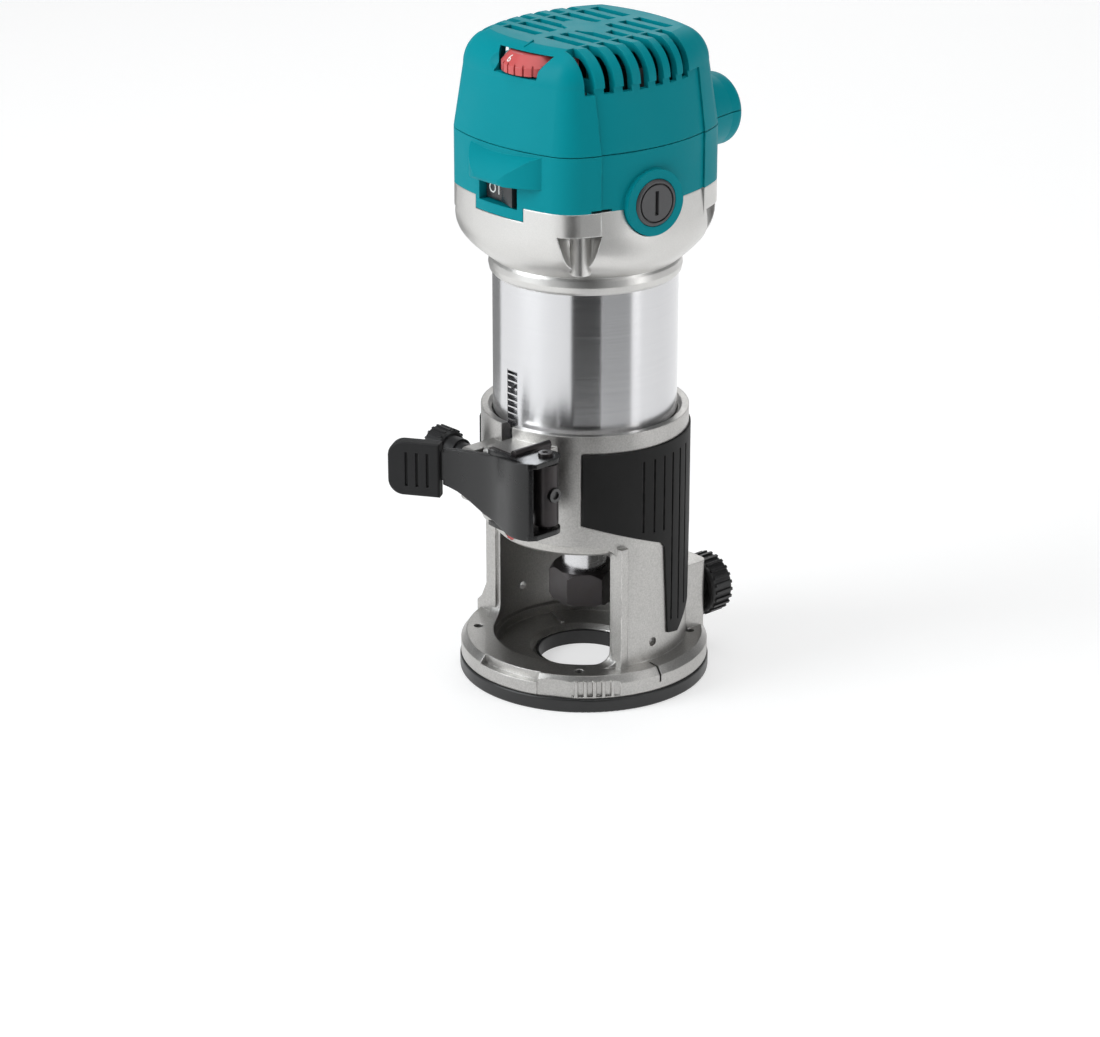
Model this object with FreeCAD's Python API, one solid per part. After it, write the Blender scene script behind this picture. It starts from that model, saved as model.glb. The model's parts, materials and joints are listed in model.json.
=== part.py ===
"""Trim router: motor head, barrel, clamp base and everything inside them.

Frame: origin on the spindle axis at the sole, +Z up along the axis, -Y the front
(power switch, speed dial, clamp), +X the right side. Millimetres throughout.
"""
import FreeCAD
import Part
import math
import os
from FreeCAD import Vector

# ---------------------------------------------------------------- driving sizes
BARREL_R = 32.5          # motor barrel, 65 mm diameter
BARREL_INNER_R = 29.8
SOLE_R = 45.0            # round sole plate, 90 mm diameter
SOLE_T = 5.2
SOLE_HOLE_R = 16.5
FOOT_TOP_Z = 13.3        # top of the aluminium foot
FOOT_R = 44.2
FOOT_HOLE_R = 31.5       # mouth of the foot
FOOT_FLOOR_Z = 7.0       # floor inside the mouth
FOOT_BORE_R = 17.5       # hole through the floor
RING_IN_R = 32.8         # clamp ring of the base
RING_OUT_R = 36.8
RING_BOTTOM_Z = 61.0
RING_TOP_Z = 100.5

TUBE_BOTTOM_Z = 62.0
TUBE_TOP_Z = 150.0
BEAD_TOP_Z = 156.4
LEDGE_Z = 173.9          # roof of the screw pockets
BRACKET_TOP_Z = 182.0
SPLIT_Z = 201.5          # joint between lower housing and top cover
HEAD_TOP_Z = 236.0

HEAD_HALF_DEPTH = 41.6   # front face, -Y
HEAD_HALF_WIDTH = 39.2   # side face, +X
HEAD_FRONT_R = 77.0      # crown of the front and back faces
HEAD_SIDE_R = 69.0       # crown of the side faces
HEAD_CORNER_R = 13.0
HEAD_EDGE_R = 12.5       # rounding of the top edge
HEAD_DRAFT = 3.4         # the cover leans in by this much below the rounding
PANEL_DEPTH = 0.7        # side faces set back between the corner columns
HEAD_WALL = 2.8

SCREW_DIAG = 38.5        # head screws lie on the diagonals
BRUSH_Z = 183.0
BRUSH_ANGLE = -7.0       # brush line, turned back from the X axis

RACK_X = -2.0            # centre of the depth rack, on the front of the barrel
RACK_W = 5.6
RACK_BOTTOM_Z = 63.0
RACK_TOP_Z = 119.0
MODULE = 0.75
PINION_TEETH = 10
RACK_PITCH_Y = -31.35
PINION_Z = 83.0
PINION_R = MODULE * PINION_TEETH / 2
PINION_Y = RACK_PITCH_Y - PINION_R

CLAMP_Y = -43.5          # clamp bolt and lever pin
CLAMP_Z = 85.5
LEVER_PIN_X = 27.7
SPLIT_HALF = 2.75        # half of the gap in the clamp ring

SPINDLE_R = 8.0
NUT_BOTTOM_Z = 26.3
NUT_TOP_Z = 38.6
NUT_FLATS = 22.0
COLLET_R = 4.0           # 8 mm shank
CORD_HOLE_R = 4.6
CORD_X = 10.0
CORD_Z = 200.2
CORD_BOSS_R = 12.9
CORD_END_Y = 54.5
DIAL_X = 5.5
DIAL_Y = -26.0
DIAL_R = 13.0
DIAL_Z = 226.3           # underside of the speed dial
ROCKER_X = 1.0          # upright pivot of the power switch
ROCKER_Y = -37.6
GUIDE_X = 17.2
GUIDE_Z = 24.4

os.makedirs("parts", exist_ok=True)


# ---------------------------------------------------------------- helpers
def box(x0, x1, y0, y1, z0, z1):
    return Part.makeBox(x1 - x0, y1 - y0, z1 - z0, Vector(x0, y0, z0))


def cyl(r, z0, z1, x=0.0, y=0.0):
    return Part.makeCylinder(r, z1 - z0, Vector(x, y, z0))


def cyl_x(r, x0, x1, y, z):
    return Part.makeCylinder(r, x1 - x0, Vector(x0, y, z), Vector(1, 0, 0))


def cyl_y(r, y0, y1, x, z):
    return Part.makeCylinder(r, y1 - y0, Vector(x, y0, z), Vector(0, 1, 0))


def cone(r0, r1, z0, z1):
    return Part.makeCone(r0, r1, z1 - z0, Vector(0, 0, z0))


def tube(r_out, r_in, z0, z1, x=0.0, y=0.0):
    return cyl(r_out, z0, z1, x, y).cut(cyl(r_in, z0 - 1, z1 + 1, x, y))


def fuse(shapes):
    """One clean solid from overlapping pieces."""
    first = shapes[0]
    if len(shapes) > 1:
        first = first.fuse(shapes[1:])
    return first.removeSplitter()


def revolve(points):
    """Solid of revolution about Z from a closed (radius, z) outline."""
    wire = Part.makePolygon([Vector(r, 0, z) for r, z in points + points[:1]])
    return Part.Face(wire).revolve(Vector(0, 0, 0), Vector(0, 0, 1), 360)


def extrude_xy(points, z0, z1):
    wire = Part.makePolygon([Vector(x, y, z0) for x, y in points + points[:1]])
    return Part.Face(wire).extrude(Vector(0, 0, z1 - z0))


def extrude_yz(points, x0, x1):
    wire = Part.makePolygon([Vector(x0, y, z) for y, z in points + points[:1]])
    return Part.Face(wire).extrude(Vector(x1 - x0, 0, 0))


def extrude_xz(points, y0, y1):
    wire = Part.makePolygon([Vector(x, y0, z) for x, z in points + points[:1]])
    return Part.Face(wire).extrude(Vector(0, y1 - y0, 0))


def hexagon_z(flats, z0, z1, x=0.0, y=0.0, turn=0.0):
    r = flats / math.sqrt(3)
    corners = [math.radians(turn + 60 * i) for i in range(6)]
    return extrude_xy([(x + r * math.cos(a), y + r * math.sin(a)) for a in corners], z0, z1)


def turned(shape, degrees, centre=Vector(0, 0, 0), axis=Vector(0, 0, 1)):
    copy = shape.copy()
    copy.rotate(centre, axis, degrees)
    return copy


def mirrored_x(shape):
    return shape.mirror(Vector(0, 0, 0), Vector(1, 0, 0))


def sector(r_out, r_in, a0, a1, z0, z1):
    """Part of a round wall between two angles, in degrees."""
    wedge = Part.makeCylinder(r_out, z1 - z0, Vector(0, 0, z0), Vector(0, 0, 1), a1 - a0)
    wedge.rotate(Vector(0, 0, 0), Vector(0, 0, 1), a0)
    return wedge.cut(cyl(r_in, z0 - 1, z1 + 1))


def soften(shape, radius, pick):
    """Fillet the edges that pick() chooses, or leave the shape alone if the kernel can't."""
    edges = [e for e in shape.Edges if pick(e)]
    try:
        result = shape.makeFillet(radius, edges)
    except Part.OCCError:
        return shape
    return result if result.isValid() and result.Volume > 0 else shape


def vertical(edge):
    """A straight edge that runs along Z."""
    ends = [v.Point for v in edge.Vertexes]
    if len(ends) != 2:
        return False
    return abs(ends[0].x - ends[1].x) < 1e-4 and abs(ends[0].y - ends[1].y) < 1e-4


def around(shape, count, start=0.0):
    """Copies of one solid, evenly round the Z axis."""
    return [turned(shape, start + 360.0 * i / count) for i in range(count)]


def group(solids):
    return Part.makeCompound(solids)


# ---------------------------------------------------------------- head outline
def head_arcs(inset):
    """The eight tangent arcs of the head's plan outline, inset evenly, as three points each."""
    front_centre = -HEAD_HALF_DEPTH + HEAD_FRONT_R
    side_centre = HEAD_HALF_WIDTH - HEAD_SIDE_R
    f = HEAD_FRONT_R - HEAD_CORNER_R
    s = HEAD_SIDE_R - HEAD_CORNER_R
    # corner centre (a, -b), inside both crowns
    slope = -side_centre / front_centre
    rest = (f * f - front_centre ** 2 - s * s + side_centre ** 2) / (2 * front_centre)
    qa = 1 + slope * slope
    qb = 2 * slope * rest - 2 * side_centre
    qc = rest * rest + side_centre ** 2 - s * s
    a = (-qb + math.sqrt(qb * qb - 4 * qa * qc)) / (2 * qa)
    b = rest + slope * a
    front_dir = math.atan2(-b - front_centre, a)
    side_dir = math.atan2(-b, a - side_centre)

    def on(cx, cy, r, angle):
        return cx + (r - inset) * math.cos(angle), cy + (r - inset) * math.sin(angle)

    front_end = on(0, front_centre, HEAD_FRONT_R, front_dir)
    side_end = on(side_centre, 0, HEAD_SIDE_R, side_dir)
    corner_mid = on(a, -b, HEAD_CORNER_R, (front_dir + side_dir) / 2)
    front_mid = (0, -HEAD_HALF_DEPTH + inset)
    side_mid = (HEAD_HALF_WIDTH - inset, 0)

    def flip(p, sx, sy):
        return p[0] * sx, p[1] * sy

    return [
        (flip(front_end, -1, 1), front_mid, front_end),
        (front_end, corner_mid, side_end),
        (side_end, side_mid, flip(side_end, 1, -1)),
        (flip(side_end, 1, -1), flip(corner_mid, 1, -1), flip(front_end, 1, -1)),
        (flip(front_end, 1, -1), flip(front_mid, 1, -1), flip(front_end, -1, -1)),
        (flip(front_end, -1, -1), flip(corner_mid, -1, -1), flip(side_end, -1, -1)),
        (flip(side_end, -1, -1), flip(side_mid, -1, 1), flip(side_end, -1, 1)),
        (flip(side_end, -1, 1), flip(corner_mid, -1, 1), flip(front_end, -1, 1)),
    ]


def head_wire(z, inset=0.0, round_r=0.0, blend=1.0):
    """Head outline at height z; blend runs from a circle of round_r (0) to the outline (1)."""
    edges = []
    for arc in head_arcs(inset):
        points = []
        for x, y in arc:
            length = math.hypot(x, y)
            cx = x / length * round_r
            cy = y / length * round_r
            points.append(Vector(cx + (x - cx) * blend, cy + (y - cy) * blend, z))
        edges.append(Part.Arc(points[0], points[1], points[2]).toShape())
    return Part.Wire(edges)


def head_prism(z0, z1, inset=0.0):
    return Part.Face(head_wire(z0, inset)).extrude(Vector(0, 0, z1 - z0))


def head_loft(z0, inset0, z1, inset1):
    return Part.makeLoft([head_wire(z0, inset0), head_wire(z1, inset1)], True, True)


def crowned_head(z0, z_top, edge_r, inset, reach):
    """Drafted prism with a round top edge, lofted through insets that follow a quarter circle."""
    start = z_top - edge_r
    wires = []
    for t in (0.0, 0.26, 0.46, 0.63, 0.77, 0.88, 0.95):
        if t > reach:
            break
        wires.append(head_wire(start + edge_r * t, inset + HEAD_DRAFT + edge_r * (1 - math.sqrt(1 - t * t))))
    dome = Part.makeLoft(wires, True, False)
    return head_loft(z0, inset, start, inset + HEAD_DRAFT).fuse(dome)


def side_panels(z0, inset0, z1, inset1):
    """Slabs over both side faces, down to an inset outline that may lean."""
    window = box(25, 60, -24.5, 22.5, z0, z1)
    right = window.cut(head_loft(z0, inset0, z1, inset1))
    return Part.makeCompound([right, mirrored_x(right)])


def corner_points(diag=SCREW_DIAG):
    c = diag / math.sqrt(2)
    return [(c, -c), (c, c), (-c, c), (-c, -c)]


def brush_line(shape_along_x):
    """Both brush positions from one shape modelled along +X."""
    return [turned(shape_along_x, BRUSH_ANGLE), turned(shape_along_x, BRUSH_ANGLE + 180)]


# ---------------------------------------------------------------- base
GRIP_OUTLINE = [
    (-25.7, 94.0), (-25.7, 67.7), (2.6, 57.2), (4.4, 55.0), (6.6, 21.5), (13.0, 20.0),
    (23.5, 28.0), (25.5, 55.5), (32.5, 57.0), (32.5, 94.0),
]
GRIP_GROOVES = [
    (-6.0, 63.0), (-1.2, 62.0), (3.6, 61.5), (8.4, 26.0), (13.2, 24.5), (18.0, 28.5),
]


def grip_blank(r_out, r_in):
    wall = sector(r_out, r_in, -80, 85, 10, 100)
    return wall.common(extrude_yz(GRIP_OUTLINE, 10, 60))


def make_grip():
    """Rubber pad let into the side of the base, with vertical grooves."""
    blank = grip_blank(37.5, 35.9)
    grooves = [box(30, 60, y - 0.45, y + 0.45, bottom, 89.5) for y, bottom in GRIP_GROOVES]
    floor = cyl(36.9, 0, 110)
    cutters = [g.cut(floor) for g in grooves]
    return blank.cut(cutters)


def base_walls():
    """Clamp ring and the wall under it, open at the front over the cutter."""
    shell = tube(RING_OUT_R, RING_IN_R, FOOT_TOP_Z - 4, RING_TOP_Z)
    front_window = extrude_xz(
        [(-60, FOOT_TOP_Z), (60, FOOT_TOP_Z), (60, 52), (34.5, 57.5), (30, 59.0), (0, RING_BOTTOM_Z),
         (-30, 59.0), (-34.5, 57.5), (-60, 52)], -60, -14.6)
    rear_panel = extrude_xz([(-14, 18), (10, 18), (10, 50), (4, 56), (-8, 56), (-14, 50)], 10, 60)
    rear_panel = rear_panel.cut(cyl(RING_OUT_R - 1.2, 0, 110))
    ribs = []
    for side in (1, -1):
        edge = box(31.2, 36.2, -15.4, -12.2, FOOT_TOP_Z - 2, 58.5)
        ribs.append(edge if side == 1 else mirrored_x(edge))
    front_window = soften(front_window, 5.0, lambda e: abs(e.CenterOfMass.y + 14.6) < 0.01)
    walls = shell.cut([front_window, rear_panel])
    ring = cyl(33.1, 0, 200)
    return fuse([walls] + [r.cut(ring) for r in ribs])


def foot():
    """Round foot with a bevelled rim, a sunk floor and a bevelled hole through it."""
    profile = [
        (FOOT_BORE_R, SOLE_T), (FOOT_R, SOLE_T), (FOOT_R + 0.4, SOLE_T + 0.5), (FOOT_R + 0.4, 10.6),
        (FOOT_R - 1.6, FOOT_TOP_Z), (36.6, FOOT_TOP_Z), (FOOT_HOLE_R, 10.2), (FOOT_HOLE_R, FOOT_FLOOR_Z),
        (FOOT_BORE_R + 2.0, FOOT_FLOOR_Z),
    ]
    disc = revolve(profile)
    seam = turned(box(38, 47, -0.4, 0.4, 8.0, 20), -5.0)
    low_rim = sector(50, FOOT_R - 2.2, -98, -64, 10.2, 20)
    flat = turned(box(43.6, 50, -6.5, 6.5, 0, 11.8), -56)
    steps = turned(box(43.2, 50, -9.5, 9.5, 6.0, 11.4), -38)
    floor_rib = turned(box(20.5, 32.0, -0.6, 0.6, FOOT_FLOOR_Z - 0.5, FOOT_FLOOR_Z + 0.6), 160)
    return disc.cut([seam, low_rim, flat, steps]).fuse(floor_rib)


def leg_gusset():
    """Fin where the left leg's front edge flares out onto the foot."""
    outline = [(-33.2, 9.0), (-41.5, 9.0), (-41.5, 16.0), (-39.0, 18.5), (-36.0, 25.0), (-33.2, 25.0)]
    return extrude_xz(outline, -15.2, -11.5)


def foot_serrations():
    """Five finger ribs on the front right of the rim."""
    ribs = []
    for i in range(5):
        rib = extrude_xy([(42.0, -0.9), (44.6, -0.5), (44.6, 0.5), (42.0, 0.9)], SOLE_T + 0.4, 11.8)
        ribs.append(turned(rib, -46 + 4.2 * i))
    return ribs


def clamp_ears():
    """Lugs each side of the split that the clamp bolt pulls together."""
    left = box(-8.0, -SPLIT_HALF, -51.0, -33.5, 74.0, 93.5)
    right = box(SPLIT_HALF, 19.8, -50.0, -31.0, 74.5, 96.5)
    left = soften(left, 2.0, lambda e: not vertical(e) and e.CenterOfMass.y < -50)
    right = soften(right, 2.0, lambda e: not vertical(e) and e.CenterOfMass.y < -49)
    boss = cyl_x(4.4, -14.5, -SPLIT_HALF, PINION_Y, PINION_Z)
    return [left, right, boss]


def guide_boss():
    """Flat boss on the back of the right leg, for the straight guide's clamp screw."""
    post = box(10.9, 25.5, 24.0, 37.2, 8.0, 38.0)
    return soften(post, 3.0, vertical)


def foot_screw_points():
    return corner_points(38.4)


def make_base_casting():
    body = fuse([base_walls(), foot(), leg_gusset(), guide_boss()] + foot_serrations() + clamp_ears())
    cuts = [
        cyl(RING_IN_R, FOOT_TOP_Z - 0.05, 200),
        box(-SPLIT_HALF, SPLIT_HALF, -60, -30, 55, 110),
        cyl_x(2.65, -20, 40, CLAMP_Y, CLAMP_Z),
        cyl_x(5.0, RACK_X - 3.2, RACK_X + 3.2, PINION_Y, PINION_Z),
        cyl_x(3.1, -15, RACK_X - 2.0, PINION_Y, PINION_Z),
        cyl_x(4.0, -45, -14.4, PINION_Y, PINION_Z),
        cone(RING_IN_R, RING_IN_R + 1.5, RING_TOP_Z - 1.5, RING_TOP_Z),
        grip_blank(40, 35.9),
        mirrored_x(grip_blank(40, 35.9)),
        cyl_x(1.6, 25, 40, -0.6, 20.0),
        cyl_x(1.6, -40, -25, -0.6, 20.0),
        cyl_y(2.55, 15, 45, GUIDE_X, GUIDE_Z),
    ]
    for x, y in foot_screw_points():
        cuts.append(cyl(1.7, 0, 20, x, y))
    cuts.append(cyl(FOOT_HOLE_R, FOOT_FLOOR_Z + 0.7, FOOT_TOP_Z + 0.1))
    return body.cut(cuts).removeSplitter()


def make_base_plate():
    """Black sole plate with a rounded rim and countersunk screw holes."""
    disc = cyl(SOLE_R, 0, SOLE_T)
    disc = disc.makeFillet(0.8, [e for e in disc.Edges if e.Length > 10])
    cuts = [cyl(SOLE_HOLE_R, -1, SOLE_T + 1)]
    for x, y in foot_screw_points():
        cuts.append(cyl(2.1, -1, 10, x, y))
        cuts.append(Part.makeCone(4.2, 2.1, 2.1, Vector(x, y, 0.5)))
        cuts.append(cyl(4.2, -1, 0.5, x, y))
    return disc.cut(cuts)


def make_base_plate_screws():
    screws = []
    for x, y in foot_screw_points():
        head = Part.makeCone(4.0, 1.95, 2.05, Vector(x, y, 0.55))
        shank = cyl(1.65, 1.5, 12.0, x, y)
        drive = turned(box(x - 2.4, x + 2.4, y - 0.4, y + 0.4, 0, 1.5), 20, Vector(x, y, 0))
        screws.append(fuse([head, shank]).cut(drive))
    return group(screws)


def make_pinion_bush():
    return cyl_x(3.1, -14.4, -6.6, PINION_Y, PINION_Z).cut(cyl_x(2.05, -20, 5, PINION_Y, PINION_Z))


# ---------------------------------------------------------------- clamp
def make_clamp_bolt():
    """Bolt through both ears and the lever pin; the hex head stands left of the left ear."""
    shank = cyl_x(2.5, -13.8, 33.0, CLAMP_Y, CLAMP_Z)
    ring = cyl_x(1.4, 32.2, 34.0, CLAMP_Y, CLAMP_Z)
    return shank.cut(ring)


def make_clamp_nut():
    nut = hexagon_z(7.0, 0, 4.0)
    nut.rotate(Vector(0, 0, 0), Vector(0, 1, 0), -90)
    nut.translate(Vector(-9.2, CLAMP_Y, CLAMP_Z))
    washer = cyl_x(4.0, -9.2, -8.0, CLAMP_Y, CLAMP_Z)
    return fuse([nut, washer]).cut(cyl_x(2.5, -20, 0, CLAMP_Y, CLAMP_Z))


def make_clamp_saddle():
    """Bent steel plate that the lever's cams press against the right ear."""
    side = box(19.8, 21.6, -51.8, -35.5, 76.0, 99.2)
    front = box(8.0, 21.6, -51.8, -50.0, 76.0, 98.2)
    lip = cyl_y(1.3, -51.8, -35.5, 20.7, 99.2)
    plate = fuse([side, front, lip])
    return plate.cut(cyl_x(2.7, 0, 40, CLAMP_Y, CLAMP_Z))


def make_lever_pin():
    """Cross pin: thick in the middle where the bolt screws in, thin through the lever's flanges."""
    middle = cyl(4.5, 74.2, 96.2, LEVER_PIN_X, CLAMP_Y)
    thin = cyl(2.45, 70.3, 99.9, LEVER_PIN_X, CLAMP_Y)
    dimple = cyl(1.0, 99.2, 101, LEVER_PIN_X, CLAMP_Y)
    return fuse([middle, thin]).cut([cyl_x(2.5, 0, 40, CLAMP_Y, CLAMP_Z), dimple])


LEVER_OUTER = [(32.2, -53.0), (30.2, -54.8), (14.0, -54.6), (4.0, -55.2), (-3.0, -56.8), (-8.0, -59.2)]
LEVER_T = 1.8


def lever_web():
    """Curved web of the pressed lever, seen from above as a band of even thickness."""
    outer = [Vector(x, y, 60) for x, y in LEVER_OUTER]
    inner = [Vector(x, y + LEVER_T, 60) for x, y in LEVER_OUTER]
    inner[0] = Vector(LEVER_OUTER[0][0] - LEVER_T, LEVER_OUTER[0][1] + 0.4, 60)
    front = Part.BSplineCurve()
    front.interpolate(outer)
    back = Part.BSplineCurve()
    back.interpolate(list(reversed(inner)))
    sides = [
        front.toShape(),
        Part.makeLine(outer[-1], inner[-1]),
        back.toShape(),
        Part.makeLine(inner[0], outer[0]),
    ]
    band = Part.Face(Part.Wire(sides)).extrude(Vector(0, 0, 50))
    profile = [
        (40, 71.0), (22, 71.0), (8, 74.5), (-3, 80.0), (-9.5, 82.5), (-9.5, 95.0),
        (-2, 95.5), (8, 96.4), (20, 98.2), (28, 99.0), (40, 99.0),
    ]
    return band.common(extrude_xz(profile, -80, -20))


def lever_flange(z0, z1):
    outline = [(31.0, -54.6), (14.0, -54.4), (10.0, -54.0), (13.5, -52.4), (22.2, -52.2), (22.4, -46.0)]
    plate = extrude_xy(outline + [(24.4, -39.6), (31.0, -39.6), (32.8, -44.0), (32.8, -52.0)], z0, z1)
    nose = cyl(5.1, z0, z1, LEVER_PIN_X, CLAMP_Y)
    return fuse([plate, nose])


def make_lever_channel():
    parts = [lever_web(), lever_flange(97.0, 98.8), lever_flange(71.0, 72.8)]
    tang = extrude_xy([(-5.5, -57.8), (-8.0, -59.2), (-19.0, -66.6), (-19.9, -65.2), (-8.4, -57.4),
                       (-5.5, -56.0)], 83.5, 94.0)
    body = fuse(parts + [tang])
    body = body.cut(cyl(2.5, 60, 110, LEVER_PIN_X, CLAMP_Y))
    return body


def make_thumb_pad():
    """Moulded pad on the lever's end, turned outward for the thumb."""
    pad = box(0, 18.6, -2.2, 2.2, 77.5, 97.2)
    corners = [e for e in pad.Edges if not vertical(e) and e.CenterOfMass.x > 18 and e.Length < 5]
    pad = pad.makeFillet(5.5, corners)
    pad = soften(pad, 0.8, lambda e: e.CenterOfMass.y < -2.1)
    grooves = [box(x - 0.5, x + 0.5, -3, -1.4, 81.0, 93.5) for x in (4.2, 8.0, 11.8)]
    pad = pad.cut(grooves)
    pad.rotate(Vector(0, 0, 0), Vector(0, 0, 1), 180 + 34)
    pad = pad.mirror(Vector(0, 0, 0), Vector(-math.sin(math.radians(34)), math.cos(math.radians(34)), 0))
    pad.translate(Vector(-8.6, -59.6, 0))
    return pad.cut(make_lever_channel())


# ---------------------------------------------------------------- depth adjuster
def pinion_teeth():
    """Slim straight-flanked teeth, with room for the rack's flanks."""
    root_r = PINION_R - 1.2 * MODULE
    tip_r = PINION_R + 0.75 * MODULE
    wheel = [cyl(root_r, 0, RACK_W - 0.6)]
    for i in range(PINION_TEETH):
        outline = [(root_r - 0.5, -0.62), (PINION_R, -0.40), (tip_r, -0.18), (tip_r, 0.18),
                   (PINION_R, 0.40), (root_r - 0.5, 0.62)]
        tooth = extrude_xy(outline, 0, RACK_W - 0.6)
        wheel.append(turned(tooth, 360.0 * i / PINION_TEETH))
    return fuse(wheel)


def make_pinion_shaft():
    wheel = pinion_teeth()
    # a tooth points at the rack, into a gap between two rack teeth
    wheel.rotate(Vector(0, 0, 0), Vector(0, 1, 0), 90)
    wheel.rotate(Vector(0, 0, 0), Vector(1, 0, 0), 90)
    wheel.translate(Vector(RACK_X - RACK_W / 2 + 0.3, PINION_Y, PINION_Z))
    shaft = cyl_x(2.0, -38.0, RACK_X, PINION_Y, PINION_Z)
    return fuse([wheel, shaft])


def make_pinion_knob():
    """Ribbed thumb knob with a plain neck towards the base."""
    body = cyl_x(6.2, -40.5, -31.5, PINION_Y, PINION_Z)
    body = body.makeChamfer(0.8, [e for e in body.Edges if e.Length > 30])
    neck = cyl_x(3.6, -31.6, -16.0, PINION_Y, PINION_Z)
    collar = cyl_x(4.6, -31.6, -26.5, PINION_Y, PINION_Z)
    ribs = []
    for i in range(18):
        rib = box(-39.6, -32.4, PINION_Y - 0.4, PINION_Y + 0.4, PINION_Z + 5.9, PINION_Z + 6.7)
        ribs.append(turned(rib, 20 * i, Vector(0, PINION_Y, PINION_Z), Vector(1, 0, 0)))
    return fuse([body, neck, collar] + ribs).cut(cyl_x(2.0, -38.0, 0, PINION_Y, PINION_Z))


def rack_tooth(z):
    """One rack tooth, as a trapezium that points out of the barrel."""
    root = RACK_PITCH_Y + 1.25 * MODULE
    tip = RACK_PITCH_Y - 0.95 * MODULE
    half_pitch_line = 0.52
    slope = math.tan(math.radians(20))
    at_root = half_pitch_line + slope * (root - RACK_PITCH_Y)
    at_tip = half_pitch_line - slope * (RACK_PITCH_Y - tip)
    outline = [(root + 0.3, z - at_root), (root + 0.3, z + at_root), (tip, z + at_tip), (tip, z - at_tip)]
    return extrude_yz(outline, RACK_X - RACK_W / 2, RACK_X + RACK_W / 2)


def make_depth_rack():
    pitch = math.pi * MODULE
    back = box(RACK_X - RACK_W / 2, RACK_X + RACK_W / 2, RACK_PITCH_Y + 1.25 * MODULE, -28.6,
               RACK_BOTTOM_Z, RACK_TOP_Z)
    first = math.ceil((RACK_BOTTOM_Z + 0.8 - PINION_Z) / pitch - 0.5)
    last = math.floor((RACK_TOP_Z - 0.8 - PINION_Z) / pitch - 0.5)
    teeth = [rack_tooth(PINION_Z + pitch * (n + 0.5)) for n in range(first, last + 1)]
    ends = [
        box(RACK_X - RACK_W / 2, RACK_X + RACK_W / 2, -32.0, -28.6, z, z + 0.5)
        for z in (RACK_BOTTOM_Z, RACK_TOP_Z - 0.5)
    ]
    holes = [cyl_y(0.95, -40, -20, RACK_X, z) for z in (RACK_BOTTOM_Z + 6.5, RACK_TOP_Z - 6.5)]
    return fuse([back] + teeth + ends).cut(holes)


def make_rack_screws():
    screws = []
    for z in (RACK_BOTTOM_Z + 6.5, RACK_TOP_Z - 6.5):
        shank = cyl_y(0.95, -30.0, -26.4, RACK_X, z)
        head = cyl_y(1.9, -28.6, -27.0, RACK_X, z)
        screws.append(fuse([shank, head]))
    return group(screws)


# ---------------------------------------------------------------- straight guide clamp
def make_guide_stud():
    stud = cyl_y(2.45, 24.0, 46.0, GUIDE_X, GUIDE_Z)
    collar = cyl_y(4.5, 38.0, 38.8, GUIDE_X, GUIDE_Z)
    return fuse([stud, collar])


def make_guide_knob():
    """Ribbed plastic thumb screw head."""
    body = cyl_y(10.4, 38.8, 48.2, GUIDE_X, GUIDE_Z)
    body = body.makeFillet(1.2, [e for e in body.Edges if e.Length > 40])
    ribs = []
    for i in range(24):
        rib = box(GUIDE_X - 0.55, GUIDE_X + 0.55, 39.6, 47.4, GUIDE_Z + 10.0, GUIDE_Z + 11.2)
        ribs.append(turned(rib, 15 * i, Vector(GUIDE_X, 0, GUIDE_Z), Vector(0, 1, 0)))
    hollow = cyl_y(7.8, 38.0, 40.4, GUIDE_X, GUIDE_Z)
    hub = cyl_y(4.5, 38.8, 41.0, GUIDE_X, GUIDE_Z)
    knob = fuse([body] + ribs).cut(hollow)
    return fuse([knob, hub]).cut(cyl_y(2.45, 30, 46.0, GUIDE_X, GUIDE_Z))


# ---------------------------------------------------------------- barrel
def make_barrel_tube():
    body = tube(BARREL_R, BARREL_INNER_R, TUBE_BOTTOM_Z, TUBE_TOP_Z)
    spigot = tube(31.4, BARREL_INNER_R, TUBE_TOP_Z - 1, 157.0)
    slot = box(RACK_X - RACK_W / 2, RACK_X + RACK_W / 2, -40, -28.6, RACK_BOTTOM_Z, RACK_TOP_Z)
    return fuse([body, spigot]).cut(slot)


def make_nose_bracket():
    """Lower end of the motor: a stepped disc that holds the output bearing."""
    disc = cyl(BARREL_R, 54.5, TUBE_BOTTOM_Z)
    disc = disc.makeChamfer(1.0, [e for e in disc.Edges if e.CenterOfMass.z < 55 and e.Length > 50])
    spigot = cyl(BARREL_INNER_R, TUBE_BOTTOM_Z - 0.5, 67.0)
    hollow = cyl(27.0, 63.0, 70.0)
    seat = cyl(16.5, 60.0, 67.0)
    web = fuse([disc, spigot.cut(hollow), seat])
    vents = []
    for i in range(8):
        vent = sector(26.0, 19.0, 10, 32, 50, 64)
        vents.append(turned(vent, 45 * i + 24))
    rack_slot = box(RACK_X - 3.0, RACK_X + 3.0, -40, -28.4, RACK_BOTTOM_Z - 0.2, 80)
    cuts = [cyl(8.4, 40, 70), cyl(13.0, 56.5, 70), rack_slot] + vents
    cuts.append(cyl_y(3.2, -40, -10, RACK_X - 2.0, 58.3))
    return web.cut(cuts)


def make_lower_bearing():
    return tube(13.0, SPINDLE_R + 0.05, 56.5, 65.5)


def make_shaft_lock_button():
    """Spring-loaded pin that reaches in towards the spindle flats."""
    x = RACK_X - 2.0
    head = cyl_y(3.1, -31.6, -27.0, x, 58.3)
    pin = cyl_y(1.6, -27.0, -19.0, x, 58.3)
    return fuse([head, pin])


def make_shaft_lock_spring():
    x = RACK_X - 2.0
    coil = cyl_y(2.9, -26.8, -19.6, x, 58.3)
    return coil.cut(cyl_y(1.9, -30, -10, x, 58.3))


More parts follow.
